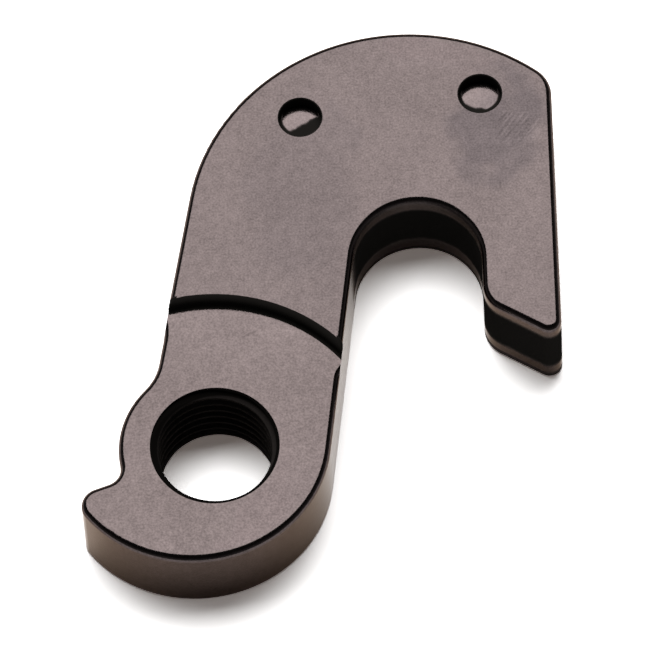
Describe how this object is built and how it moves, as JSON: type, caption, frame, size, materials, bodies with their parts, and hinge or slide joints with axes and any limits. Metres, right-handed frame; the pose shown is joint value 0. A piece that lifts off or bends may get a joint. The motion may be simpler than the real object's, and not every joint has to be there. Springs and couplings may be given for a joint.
{
  "type": "bicycle derailleur hanger",
  "caption": "Replaceable bicycle derailleur hanger: a hooked plate with a downward axle slot, a recessed lug with a threaded derailleur hole and a stop tab, and blind pin holes.",
  "frame": {"origin": "on the derailleur bolt's axis, at the plane of the back face", "axes": "+Z out of the outer (derailleur) face, +Y up along the straight front edge and out of the slot's closed end, +X towards the bicycle's front"},
  "size_m": [0.0378, 0.0455, 0.008],
  "materials": {
    "anodised_aluminium": "black-brown anodised, satin"
  },
  "bodies": {
    "root": {"hanger": "anodised_aluminium"}
  },
  "joints": []
}
